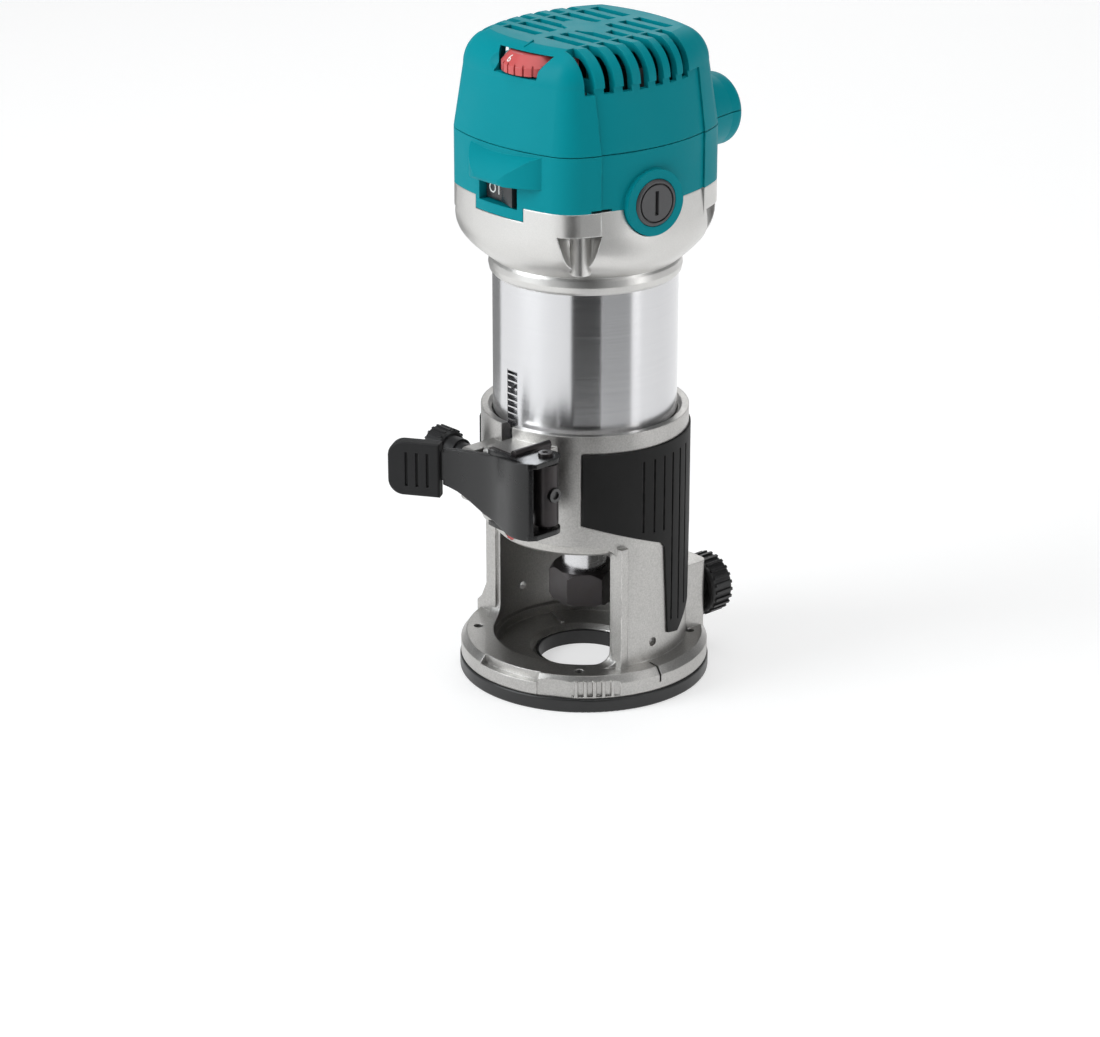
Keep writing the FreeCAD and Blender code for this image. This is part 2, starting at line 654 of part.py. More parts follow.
def make_stator_core():
    body = tube(BARREL_INNER_R - 0.1, 16.3, 92, 132)
    flats = [box(-40, 40, -40, -26.2, 80, 140), box(-40, 40, 26.2, 40, 80, 140)]
    windows = [sector(24.6, 16.2, a, b, 80, 140) for a, b in ((-136, -44), (44, 136))]
    return body.cut(flats + windows)


def make_field_coils():
    coils = []
    for start in (-134, 46):
        legs = sector(24.2, 17.2, start, start + 88, 86, 138)
        mouth = sector(21.2, 17.0, start + 30, start + 58, 94, 130)
        coils.append(legs.cut(mouth))
    return group(coils)


def make_motor_bracket():
    """Cast shoulder: round collar at the barrel, flaring to the square head."""
    bead = revolve([
        (31.4, 150.0), (32.6, 150.0), (33.5, 151.0), (33.9, 153.0), (33.5, 155.2), (32.9, BEAD_TOP_Z),
        (31.4, BEAD_TOP_Z),
    ])
    stations = [
        (BEAD_TOP_Z, 0.0, 33.4), (160.5, 0.35, 36.2), (164.6, 0.66, 38.6), (168.4, 0.87, 40.5),
        (172.4, 1.0, 41.0),
    ]
    wires = [head_wire(z, 0.0, r, t) for z, t, r in stations]
    flare = Part.makeLoft(wires, True, False)
    upper = head_prism(172.4, BRACKET_TOP_Z)
    cavity = [
        cyl(31.4, 140, 157.0),
        cone(31.4, 33.2, 157.0, 176.1),
        head_prism(176.0, 190.0, HEAD_WALL + 0.4),
    ]
    posts = [cyl(5.6, 176.0, BRACKET_TOP_Z, x, y) for x, y in corner_points()]
    shell = fuse([bead, flare, upper])
    hollow = shell.cut(cavity)
    inside_posts = [p.common(shell).cut(cyl(31.4, 140, 190)) for p in posts]
    body = fuse([hollow] + inside_posts)
    cuts = [side_panels(172.4, 0.0, BRACKET_TOP_Z, PANEL_DEPTH)]
    for x, y in corner_points():
        cuts.append(cyl(2.2, 150, 190, x, y))
        cuts.append(cyl(3.2, 150, 176.9, x, y))
        cuts.append(cyl(3.6, 150, LEDGE_Z, x, y))
    for x, y in corner_points(43.6):
        cuts.append(Part.makeCone(3.6, 7.7, 13.0, Vector(x, y, LEDGE_Z - 13.0)))
    cuts += brush_line(cyl_x(11.8, 20, 60, 0, BRUSH_Z))
    cuts.append(box(-10.8, 13.2, -60, -36, 177.2, 190))
    return body.cut(cuts)


def make_bracket_screws():
    """Four long screws, up through the lower housing into the top cover."""
    screws = []
    for x, y in corner_points():
        head = cyl(3.0, 173.0, 176.9, x, y).cut(hexagon_z(3.0, 172, 175, x, y))
        shank = cyl(1.9, 176.0, 222.0, x, y)
        screws.append(fuse([head, shank]))
    return group(screws)


# ---------------------------------------------------------------- head
def head_posts(z0, z1, hole_r):
    """Round posts in the corners that the long screws pass through."""
    return [cyl(4.6, z0, z1, x, y).cut(cyl(hole_r, z0 - 1, z1 + 1, x, y)) for x, y in corner_points()]


def cord_boss(z0, z1):
    """Half of the round boss on the back that the cord leaves by."""
    barrel = cyl_y(CORD_BOSS_R, 30, CORD_END_Y, CORD_X, CORD_Z)
    barrel = barrel.makeFillet(3.8, [e for e in barrel.Edges if e.CenterOfMass.y > 50 and e.Length > 60])
    skirt = Part.makeCone(CORD_BOSS_R + 3.6, CORD_BOSS_R, 18, Vector(CORD_X, 30, CORD_Z), Vector(0, 1, 0))
    return fuse([barrel, skirt]).common(box(-60, 60, 20, 80, z0, z1))


def cord_boss_hollow():
    wide = cyl_y(CORD_BOSS_R - 2.4, 30, CORD_END_Y - 6.0, CORD_X, CORD_Z)
    return [wide, cyl_y(CORD_HOLE_R + 1.6, 40, 70, CORD_X, CORD_Z)]


def switch_opening():
    return box(-8.5, 10.5, -60, -30, 181.0, 189.6)


def switch_hood():
    """Brow over the power switch, rounded in plan and sloped at the top."""
    brow = Part.BSplineCurve()
    brow.interpolate([Vector(0, y, z) for y, z in (
        (-36, 201.3), (-41.0, 199.7), (-44.4, 196.7), (-46.6, 193.4), (-47.2, 191.2), (-46.4, 189.8))])
    edges = [
        brow.toShape(),
        Part.makeLine(Vector(0, -46.4, 189.8), Vector(0, -36, 189.6)),
        Part.makeLine(Vector(0, -36, 189.6), Vector(0, -36, 201.3)),
    ]
    section = Part.Face(Part.Wire(edges)).extrude(Vector(44, 0, 0))
    section.translate(Vector(-20, 0, 0))
    outline = Part.BSplineCurve()
    outline.interpolate([Vector(x, y, 185) for x, y in (
        (-15.5, -37), (-12.0, -42.4), (-7.0, -46.4), (0, -47.6), (7.5, -47.2), (13.5, -44.6), (18.5, -41.0),
        (22.0, -37))])
    rim = [outline.toShape(), Part.makeLine(Vector(22, -37, 185), Vector(-15.5, -37, 185))]
    plan = Part.Face(Part.Wire(rim)).extrude(Vector(0, 0, 22))
    return soften(section.common(plan), 2.4, lambda e: e.CenterOfMass.y < -41 and e.CenterOfMass.z > 190.5)


def make_lower_housing():
    """Lower half of the plastic head: switch hood, brush bosses and half of the cord boss."""
    top = SPLIT_Z - 0.15
    ring = head_prism(BRACKET_TOP_Z, top).cut(head_prism(170, 210, HEAD_WALL))
    frame = head_prism(177.4, 192).common(box(-10.6, 13.0, -60, -36.4, 177.4, 192))
    bosses = brush_line(cyl_x(11.5, 29.0, 40.6, 0, BRUSH_Z))
    shell = fuse([ring, switch_hood(), frame, cord_boss(180, top)] + bosses)
    panels = side_panels(BRACKET_TOP_Z, PANEL_DEPTH, SPLIT_Z, PANEL_DEPTH)
    panels = panels.cut(brush_line(cyl_x(11.5, 20, 60, 0, BRUSH_Z)))
    slits = [box(30, 60, -28.0, -20.4, BRACKET_TOP_Z, BRACKET_TOP_Z + 0.9)]
    slits.append(mirrored_x(slits[0]))
    shell = shell.cut([switch_opening(), panels] + cord_boss_hollow() + slits)
    body = fuse([shell] + head_posts(BRACKET_TOP_Z, top, 2.2))
    return body.cut(brush_line(cyl_x(8.3, 20, 60, 0, BRUSH_Z)))


def side_vents():
    """Seven slots over each side's top edge."""
    slots = []
    for i in range(7):
        y = -6.0 + 6.7 * (i - 3)
        slots.append(box(20.2, 60, y - 1.75, y + 1.75, 221.5, 260))
    return slots + [mirrored_x(s) for s in slots]


def top_louvres():
    """Shallow slots across the top, each side of a middle rib."""
    slots = []
    for i in range(1, 8):
        y = -6.0 + 6.7 * (i - 3)
        for side in (-1, 1):
            slot = box(2.4, 19.0, y - 1.9, y + 1.9, HEAD_TOP_Z - 2.0, HEAD_TOP_Z + 5)
            slots.append(slot if side == 1 else mirrored_x(slot))
    oval = Part.makeCylinder(9.0, 20, Vector(0, 0, HEAD_TOP_Z - 10))
    matrix = FreeCAD.Matrix()
    matrix.scale(1.15, 0.72, 1.0)
    oval = oval.transformGeometry(matrix)
    return [s.cut(oval) for s in slots]


def make_top_cover():
    """Upper half of the head, with air slots, the dial's window and half of the cord boss."""
    bottom = SPLIT_Z + 0.15
    outer = crowned_head(bottom, HEAD_TOP_Z, HEAD_EDGE_R, 0.0, 1.0)
    inner = crowned_head(bottom - 5, HEAD_TOP_Z - 2.6, HEAD_EDGE_R - 3.5, HEAD_WALL, 0.9)
    posts = [cyl(4.6, bottom - 6, 226.0, x, y) for x, y in corner_points()]
    shell = fuse([outer.cut(inner.cut(posts)), cord_boss(bottom, 230).cut(inner)])
    scoop = cyl(17.5, DIAL_Z - 1.4, 260, DIAL_X - 5.5, -52.0)
    scoop = scoop.makeFillet(6.0, [e for e in scoop.Edges if e.CenterOfMass.z < DIAL_Z])
    window = box(DIAL_X - 9.8, DIAL_X + 9.8, -60, DIAL_Y - 3, DIAL_Z - 0.8, DIAL_Z + 6.6)
    wheel_room = cyl(DIAL_R + 0.7, DIAL_Z - 0.8, DIAL_Z + 6.9, DIAL_X, DIAL_Y)
    holes = [cyl(1.95, bottom - 1, 224.0, x, y) for x, y in corner_points()]
    panels = side_panels(bottom, PANEL_DEPTH, HEAD_TOP_Z - HEAD_EDGE_R, HEAD_DRAFT + PANEL_DEPTH)
    cuts = side_vents() + top_louvres() + cord_boss_hollow() + holes
    return shell.cut(cuts + [scoop, window, wheel_room, panels])


def make_cord_inlet_ring():
    """Plastic ferrule in the boss that a cord guard passes through."""
    ring = cyl_y(CORD_HOLE_R + 1.6, CORD_END_Y - 6.0, CORD_END_Y - 0.4, CORD_X, CORD_Z)
    flange = cyl_y(CORD_HOLE_R + 4.4, CORD_END_Y - 7.6, CORD_END_Y - 6.0, CORD_X, CORD_Z)
    return fuse([ring, flange]).cut(cyl_y(CORD_HOLE_R, 40, 60, CORD_X, CORD_Z))


def make_brush_holders():
    """Square brass tubes in round plastic collars, pointing at the commutator."""
    tube_outer = box(13.5, 33.0, -4.4, 4.4, BRUSH_Z - 5.0, BRUSH_Z + 5.0)
    bore = box(10, 40, -3.2, 3.2, BRUSH_Z - 4.0, BRUSH_Z + 4.0)
    collar = cyl_x(8.2, 33.0, 36.0, 0, BRUSH_Z)
    holder = fuse([tube_outer, collar]).cut(bore)
    return group(brush_line(holder))


def make_carbon_brushes():
    return group(brush_line(box(11.1, 22.0, -3.1, 3.1, BRUSH_Z - 3.9, BRUSH_Z + 3.9)))


def make_brush_springs():
    spring = cyl_x(2.6, 22.0, 35.4, 0, BRUSH_Z).cut(cyl_x(1.7, 20, 40, 0, BRUSH_Z))
    return group(brush_line(spring))


def make_brush_caps():
    """Slotted screw caps, 16 mm across, in a ring."""
    cap = cyl_x(8.1, 36.0, 41.2, 0, BRUSH_Z)
    cap = cap.makeChamfer(0.6, [e for e in cap.Edges if e.CenterOfMass.x > 41 and e.Length > 30])
    moat = cyl_x(6.9, 40.0, 45, 0, BRUSH_Z).cut(cyl_x(6.3, 39, 46, 0, BRUSH_Z))
    slot = box(39.6, 45, -0.7, 0.7, BRUSH_Z - 4.2, BRUSH_Z + 4.2)
    plug = cyl_x(2.9, 35.4, 36.2, 0, BRUSH_Z)
    return group(brush_line(fuse([cap.cut([moat, slot]), plug])))


def make_switch_body():
    block = box(-8.3, 10.3, -36.2, -22.0, 180.0, 190.4)
    tabs = [box(x, x + 1.0, -22.0, -17.5, 182.5, 187.5) for x in (-5.5, 0.5, 6.5)]
    return fuse([block] + tabs)


def make_switch_rocker():
    """Rocker that tips about an upright pivot: one half pressed in, the other standing out."""
    outline = [(-7.6, -38.6), (1.0, -39.4), (9.2, -42.0), (9.2, -39.0), (1.0, -36.6), (-7.6, -36.6)]
    paddle = soften(extrude_xy(outline, 181.6, 189.0), 0.5, lambda e: e.CenterOfMass.y < -39.2)
    return fuse([paddle, cyl(1.3, 181.2, 189.4, ROCKER_X, ROCKER_Y)])


def make_speed_dial():
    """Twelve-sided thumbwheel with a bevelled upper edge, on the potentiometer's stem."""
    hub = cyl(DIAL_R - 3.2, DIAL_Z, DIAL_Z + 6.4, DIAL_X, DIAL_Y)
    bevel = Part.makeCone(DIAL_R, DIAL_R - 3.2, 3.6, Vector(DIAL_X, DIAL_Y, DIAL_Z + 2.8))
    rim = cyl(DIAL_R, DIAL_Z, DIAL_Z + 2.8, DIAL_X, DIAL_Y)
    teeth = []
    for i in range(24):
        gap = box(DIAL_R - 0.7, DIAL_R + 3, -0.35, 0.35, DIAL_Z - 1, DIAL_Z + 7)
        gap.rotate(Vector(0, 0, 0), Vector(0, 0, 1), 15 * i + 7.5)
        gap.translate(Vector(DIAL_X, DIAL_Y, 0))
        teeth.append(gap)
    return fuse([hub, bevel, rim]).cut(teeth + [cyl(2.05, 220, DIAL_Z + 4.3, DIAL_X, DIAL_Y)])


def make_controller_board():
    board = box(-24, 24, -20, 24, 209.0, 210.6)
    notch = cyl(6.0, 200, 220)
    return fuse([board, box(DIAL_X - 7, DIAL_X + 7, -30, -19, 209.0, 210.6)]).cut(notch)


def make_board_parts():
    """Heat sink, capacitor and mains suppressor on the speed controller."""
    sink = fuse([box(-22, -20.4, -14, 14, 210.6, 224)] + [
        box(-20.5, -14.5, y, y + 1.2, 210.6, 224) for y in (-13, -6.5, 0, 6.5, 12)])
    can = cyl(4.2, 210.6, 223.0, 14.5, 8.0)
    block = box(5, 19, 14.5, 22.5, 210.6, 219.0)
    chip = box(-8, -1, 8, 14, 210.6, 213.0)
    return group([sink, can, block, chip])


def make_dial_pot():
    case = box(DIAL_X - 5.5, DIAL_X + 5.5, DIAL_Y - 5.0, DIAL_Y + 5.0, 210.6, 220.0)
    stem = cyl(2.0, 219.0, DIAL_Z + 3.8, DIAL_X, DIAL_Y)
    return fuse([case, stem])


def make_bearing_bridge():
    """Moulded bridge across the lower housing that seats the top bearing."""
    hub = cyl(12.5, 192.0, 200.0)
    arms = []
    for x, y in corner_points(33.5):
        angle = math.degrees(math.atan2(y, x))
        arms.append(turned(box(8, 33.6, -3.0, 3.0, 193.5, 198.0), angle))
    return fuse([hub] + arms).cut([cyl(9.5, 190, 198.5), cyl(5.0, 190, 210)])


def make_upper_bearing():
    return tube(9.5, 4.05, 192.0, 198.5)


def make_air_baffle():
    """Funnel that leads cooling air from the motor to the fan."""
    funnel = revolve([
        (29.6, 76.5), (29.6, 79.0), (28.4, 84.0), (27.2, 84.0), (27.2, 79.5), (21.0, 77.8), (21.0, 76.5),
    ])
    return funnel.cut(box(-10, 10, -40, -26.2, 70, 90))


def make_cord_clamp():
    """Strap inside the head that grips the cord's sheath."""
    strap = box(CORD_X - 8.5, CORD_X + 8.5, 30.0, 35.0, 203.5, 206.0)
    saddle = cyl_y(4.2, 30, 40, CORD_X, CORD_Z)
    return strap.cut(saddle)


def make_cord_clamp_screws():
    screws = []
    for x in (CORD_X - 5.5, CORD_X + 5.5):
        head = cyl(2.3, 206.0, 207.8, x, 32.5)
        slot = box(x - 1.8, x + 1.8, 32.2, 32.8, 207.2, 208.5)
        screws.append(head.cut(slot))
    return group(screws)


def lead(points, r):
    """Insulated wire along straight runs joined by round corners."""
    pieces = []
    for p, q in zip(points[:-1], points[1:]):
        pieces.append(Part.makeCylinder(r, (q - p).Length, p, q - p))
    for p in points[1:-1]:
        pieces.append(Part.makeSphere(r, p))
    return fuse(pieces)


def make_motor_leads():
    """Brush and field wires, from the motor up to the switch and controller."""
    routes = [
        [Vector(24, 9, 188), Vector(22, 13, 199), Vector(17, 15, 207.6)],
        [Vector(-24, -9, 188), Vector(-22, -13, 199), Vector(-17, -15, 207.6)],
        [Vector(-3, -21.5, 139), Vector(-6, -24, 165), Vector(-6, -24, 179.9)],
        [Vector(5, 21.5, 139), Vector(14, 21, 178), Vector(8, 20, 207.6)],
    ]
    return group([lead(route, 1.1) for route in routes])


# ---------------------------------------------------------------- spindle
def make_spindle_shaft():
    """Armature shaft, thick at the output end and bored to a taper for the collet."""
    stations = [
        (0, 30.0), (7.9, 30.0), (7.9, 34.0), (SPINDLE_R, 34.0), (SPINDLE_R, 67.0), (5.0, 67.0), (5.0, 190.0),
        (4.0, 190.0), (4.0, 203.0), (0, 203.0),
    ]
    taper = revolve([(0, 29.0), (6.7, 29.0), (6.4, 31.0), (4.9, 47.0), (0, 47.0)])
    relief = cyl(4.4, 46.0, 56.0)
    return revolve(stations).cut([taper, relief])


def make_collet_nut():
    nut = hexagon_z(NUT_FLATS, NUT_BOTTOM_Z, NUT_TOP_Z, turn=-12)
    dome = revolve([(0, NUT_BOTTOM_Z - 1), (10.9, NUT_BOTTOM_Z - 1), (12.8, NUT_BOTTOM_Z + 1.4),
                    (12.8, NUT_TOP_Z - 2.2), (10.4, NUT_TOP_Z + 1), (0, NUT_TOP_Z + 1)])
    seat = revolve([(0, 20), (4.9, 20), (4.9, 27.6), (6.45, 29.6), (0, 29.6)])
    return nut.common(dome).cut([cyl(SPINDLE_R, 29.6, 60), seat])


def make_collet_cone():
    body = revolve([
        (COLLET_R, 26.8), (4.8, 26.8), (4.8, 27.6), (6.3, 29.6), (6.3, 31.2), (4.9, 46.0), (COLLET_R, 46.0)])
    slits = [turned(box(3, 8, -0.4, 0.4, 20, 42), 90 * i + 45) for i in range(4)]
    return body.cut(slits)


def make_armature_core():
    body = tube(15.6, 5.0, 92, 132)
    slots = around(box(11.5, 17, -0.8, 0.8, 90, 134), 12)
    return body.cut(slots)


def make_armature_windings():
    ends = []
    for z0, z1 in ((84.0, 91.9), (132.1, 142.0)):
        ring = tube(14.2, 5.0, z0, z1)
        rims = [e for e in ring.Edges if e.Length > 80]
        ends.append(ring.makeFillet(2.4, rims))
    return group(ends)


def make_commutator():
    body = tube(11.0, 5.0, 176.0, 190.0)
    gaps = around(box(9.8, 12, -0.25, 0.25, 175, 191), 24)
    return body.cut(gaps)


def make_cooling_fan():
    """Radial fan above the output bearing."""
    plate = tube(26.0, 5.0, 68.6, 70.2)
    hub = tube(8.0, 5.0, 68.6, 76.0)
    blades = around(box(9, 25.6, -0.7, 0.7, 69.5, 75.8), 12)
    return fuse([plate, hub] + blades)


NODES = {
    "base_casting": make_base_casting,
    "base_plate": make_base_plate,
    "base_plate_screws": make_base_plate_screws,
    "grip_right": make_grip,
    "grip_left": lambda: mirrored_x(make_grip()),
    "pinion_bush": make_pinion_bush,
    "clamp_bolt": make_clamp_bolt,
    "clamp_nut": make_clamp_nut,
    "clamp_saddle": make_clamp_saddle,
    "lever_pivot_pin": make_lever_pin,
    "lever_channel": make_lever_channel,
    "lever_thumb_pad": make_thumb_pad,
    "pinion_shaft": make_pinion_shaft,
    "pinion_knob": make_pinion_knob,
    "guide_clamp_stud": make_guide_stud,
    "guide_clamp_knob": make_guide_knob,
    "barrel_tube": make_barrel_tube,
    "nose_bracket": make_nose_bracket,
    "depth_rack": make_depth_rack,
    "rack_screws": make_rack_screws,
    "lower_bearing": make_lower_bearing,
    "shaft_lock_button": make_shaft_lock_button,
    "shaft_lock_spring": make_shaft_lock_spring,
    "stator_core": make_stator_core,
    "field_coils": make_field_coils,
    "air_baffle": make_air_baffle,
    "motor_bracket": make_motor_bracket,
    "bracket_screws": make_bracket_screws,
    "lower_housing": make_lower_housing,
    "top_cover": make_top_cover,
    "cord_inlet_ring": make_cord_inlet_ring,
    "cord_clamp": make_cord_clamp,
    "cord_clamp_screws": make_cord_clamp_screws,
    "brush_holders": make_brush_holders,
    "carbon_brushes": make_carbon_brushes,
    "brush_springs": make_brush_springs,
    "brush_caps": make_brush_caps,
    "switch_body": make_switch_body,
    "switch_rocker": make_switch_rocker,
    "speed_dial": make_speed_dial,
    "controller_board": make_controller_board,
    "board_parts": make_board_parts,
    "dial_pot": make_dial_pot,
    "bearing_bridge": make_bearing_bridge,
    "upper_bearing": make_upper_bearing,
    "motor_leads": make_motor_leads,
    "spindle_shaft": make_spindle_shaft,
    "armature_core": make_armature_core,
    "armature_windings": make_armature_windings,
    "commutator": make_commutator,
    "cooling_fan": make_cooling_fan,
    "collet_nut": make_collet_nut,
    "collet_cone": make_collet_cone,
}

for node, make in NODES.items():
    shape = make()
    shape.exportStep("parts/%s.step" % node)
    print(node, len(shape.Solids), "solids", round(shape.Volume), "mm3", shape.isValid())
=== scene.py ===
"""Looks of the trim router: finishes, marks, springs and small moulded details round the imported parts."""

import json
import math

import bmesh
import bpy
from mathutils import Matrix, Vector


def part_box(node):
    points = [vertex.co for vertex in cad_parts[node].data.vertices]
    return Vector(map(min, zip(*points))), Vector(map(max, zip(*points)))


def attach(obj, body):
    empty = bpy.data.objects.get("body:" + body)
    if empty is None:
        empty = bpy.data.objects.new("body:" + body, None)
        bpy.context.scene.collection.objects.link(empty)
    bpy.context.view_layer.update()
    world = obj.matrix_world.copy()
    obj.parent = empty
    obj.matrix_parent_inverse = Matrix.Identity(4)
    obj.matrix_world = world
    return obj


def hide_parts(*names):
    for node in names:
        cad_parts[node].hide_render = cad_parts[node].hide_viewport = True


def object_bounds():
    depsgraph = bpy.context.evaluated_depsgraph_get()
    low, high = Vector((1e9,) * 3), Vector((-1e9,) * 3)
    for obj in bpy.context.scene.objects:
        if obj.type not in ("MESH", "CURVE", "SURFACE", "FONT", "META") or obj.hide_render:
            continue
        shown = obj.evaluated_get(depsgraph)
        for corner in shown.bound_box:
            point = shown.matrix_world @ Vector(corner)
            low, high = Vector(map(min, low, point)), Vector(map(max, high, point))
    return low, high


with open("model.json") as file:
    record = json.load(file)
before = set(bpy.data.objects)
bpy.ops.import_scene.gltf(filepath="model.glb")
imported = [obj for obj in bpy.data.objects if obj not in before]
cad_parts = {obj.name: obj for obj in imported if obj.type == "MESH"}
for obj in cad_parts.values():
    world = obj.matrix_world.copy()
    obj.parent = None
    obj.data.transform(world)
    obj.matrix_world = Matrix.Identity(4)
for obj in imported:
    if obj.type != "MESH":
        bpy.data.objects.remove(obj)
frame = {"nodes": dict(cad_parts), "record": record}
cad_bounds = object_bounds()
nodes = frame["nodes"]
record = frame["record"]

MM = 0.001
VIEW_AZIMUTH = math.radians(47.5)
VIEW_ELEVATION = math.radians(19.6)
VIEW_DISTANCE = 1.2
VIEW_LENS = 111.0
AIM_HEIGHT = 0.1         # point of the spindle axis that the framing is measured from
AIM_LEFT = 0.0122        # the object stands right of the picture's middle by this much
AIM_DOWN = 0.0410        # and above it by this much


# ---------------------------------------------------------------- shader helpers
def new_shader(name, colour, roughness, metallic=0.0, specular=0.5, coat=0.0, coat_roughness=0.1):
    """A Principled material; returns the material, its tree and the shader node."""
    mat = bpy.data.materials.new(name)
    mat.use_nodes = True
    tree = mat.node_tree
    shader = tree.nodes["Principled BSDF"]
    shader.inputs["Base Color"].default_value = (*colour, 1.0)
    shader.inputs["Roughness"].default_value = roughness
    shader.inputs["Metallic"].default_value = metallic
    shader.inputs["Specular IOR Level"].default_value = specular
    shader.inputs["Coat Weight"].default_value = coat
    shader.inputs["Coat Roughness"].default_value = coat_roughness
    mat.diffuse_color = (*colour, 1.0)
    return mat, tree, shader


def noise(tree, size_mm, detail=3.0, roughness=0.55, stretch=(1, 1, 1)):
    """Noise over the object's own space, with features of about size_mm."""
    place = tree.nodes.new("ShaderNodeTexCoord")
    mapping = tree.nodes.new("ShaderNodeMapping")
    mapping.inputs["Scale"].default_value = stretch
    tree.links.new(place.outputs["Object"], mapping.inputs["Vector"])
    node = tree.nodes.new("ShaderNodeTexNoise")
    node.inputs["Scale"].default_value = 1.0 / (size_mm * MM)
    node.inputs["Detail"].default_value = detail
    node.inputs["Roughness"].default_value = roughness
    tree.links.new(mapping.outputs["Vector"], node.inputs["Vector"])
    return node.outputs["Fac"]


def remap(tree, value, low, high, from_low=0.3, from_high=0.7):
    node = tree.nodes.new("ShaderNodeMapRange")
    node.inputs["From Min"].default_value = from_low
    node.inputs["From Max"].default_value = from_high
    node.inputs["To Min"].default_value = low
    node.inputs["To Max"].default_value = high
    tree.links.new(value, node.inputs["Value"])
    return node.outputs["Result"]


def blend_colours(tree, factor, first, second):
    """Mix of two colours, or of a socket and a colour, by a factor socket."""
    node = tree.nodes.new("ShaderNodeMix")
    node.data_type = "RGBA"
    tree.links.new(factor, node.inputs["Factor"])
    for value, socket in ((first, node.inputs["A"]), (second, node.inputs["B"])):
        if isinstance(value, tuple):
            socket.default_value = (*value, 1.0)
        else:
            tree.links.new(value, socket)
    return node.outputs["Result"]


def tint(colour, factor):
    return tuple(min(1.0, c * factor) for c in colour)


def bump(tree, shader, layers, edge_mm=0.0):
    """Stacks bump layers (height socket, depth in mm); edge_mm rounds sharp edges in the shading."""
    normal = None
    if edge_mm > 0:
        rounded = tree.nodes.new("ShaderNodeBevel")
        rounded.samples = 4
        rounded.inputs["Radius"].default_value = edge_mm * MM
        normal = rounded.outputs["Normal"]
    for height, depth in layers:
        node = tree.nodes.new("ShaderNodeBump")
        node.inputs["Strength"].default_value = 1.0
        node.inputs["Distance"].default_value = depth * MM
        tree.links.new(height, node.inputs["Height"])
        if normal is not None:
            tree.links.new(normal, node.inputs["Normal"])
        normal = node.outputs["Normal"]
    tree.links.new(normal, shader.inputs["Normal"])


def edge_wear(tree, radius_mm, low=0.02, high=0.25):
    """1 on sharp edges and 0 on flat faces, broken up by noise."""
    rounded = tree.nodes.new("ShaderNodeBevel")
    rounded.samples = 4
    rounded.inputs["Radius"].default_value = radius_mm * MM
    flat = tree.nodes.new("ShaderNodeNewGeometry")
    dot = tree.nodes.new("ShaderNodeVectorMath")
    dot.operation = "DOT_PRODUCT"
    tree.links.new(rounded.outputs["Normal"], dot.inputs[0])
    tree.links.new(flat.outputs["Normal"], dot.inputs[1])
    edge = remap(tree, dot.outputs["Value"], 1.0, 0.0, 1.0 - high, 1.0 - low)
    patches = remap(tree, noise(tree, 6.0, 4.0), 0.0, 1.0, 0.42, 0.6)
    product = tree.nodes.new("ShaderNodeMath")
    product.operation = "MULTIPLY"
    tree.links.new(edge, product.inputs[0])
    tree.links.new(patches, product.inputs[1])
    return product.outputs["Value"]


# ---------------------------------------------------------------- finishes
def moulded(name, colour, roughness, grain_mm=0.5, depth=0.02, edge=0.35, coat=0.0, spread=0.07):
    """Moulded plastic: faint colour drift, fine grain, slightly uneven gloss."""
    mat, tree, shader = new_shader(name, colour, roughness, coat=coat)
    drift = noise(tree, 30.0, 3.0)
    colours = blend_colours(tree, drift, tint(colour, 1 - spread), tint(colour, 1 + spread))
    tree.links.new(colours, shader.inputs["Base Color"])
    gloss = remap(tree, noise(tree, 9.0, 4.0), roughness * 0.85, roughness * 1.2)
    tree.links.new(gloss, shader.inputs["Roughness"])
    bump(tree, shader, [(noise(tree, grain_mm, 2.0), depth)], edge)
    return mat


def teal_plastic():
    """Satin glass-filled nylon with a fine spark-eroded grain."""
    colour = (0.0, 0.245, 0.29)
    mat, tree, shader = new_shader("teal_plastic", colour, 0.46, specular=0.08)
    drift = noise(tree, 40.0, 3.0)
    body = blend_colours(tree, drift, tint(colour, 0.94), tint(colour, 1.06))
    worn = blend_colours(tree, edge_wear(tree, 0.6), body, (0.005, 0.36, 0.40))
    tree.links.new(worn, shader.inputs["Base Color"])
    gloss = remap(tree, noise(tree, 14.0, 4.0), 0.4, 0.52)
    tree.links.new(gloss, shader.inputs["Roughness"])
    bump(tree, shader, [(noise(tree, 0.35, 2.0), 0.012), (noise(tree, 12.0, 1.0), 0.03)], 0.5)
    return mat


def cast_aluminium(name="cast_aluminium", colour=(0.47, 0.462, 0.448), grain_mm=0.6, depth=0.05, spread=0.12):
    """Bead-blasted casting: speckled grain and brighter rubbed edges."""
    mat, tree, shader = new_shader(name, colour, 0.34, metallic=0.95)
    speckle = remap(tree, noise(tree, grain_mm, 3.0, 0.7), 0.0, 1.0, 0.35, 0.65)
    body = blend_colours(tree, speckle, tint(colour, 1 - spread), tint(colour, 1 + spread))
    rubbed = blend_colours(tree, edge_wear(tree, 0.7), body, tint(colour, 1.7))
    tree.links.new(rubbed, shader.inputs["Base Color"])
    gloss = remap(tree, noise(tree, 5.0, 4.0), 0.3, 0.4)
    tree.links.new(gloss, shader.inputs["Roughness"])
    layers = [(noise(tree, grain_mm, 3.0, 0.6), depth), (noise(tree, 7.0, 2.0), 0.08)]
    bump(tree, shader, layers, 0.6)
    return mat


def satin_aluminium():
    """Fine satin die casting of the motor's shoulder."""
    return cast_aluminium("satin_aluminium", (0.66, 0.652, 0.635), 0.4, 0.012, 0.04)


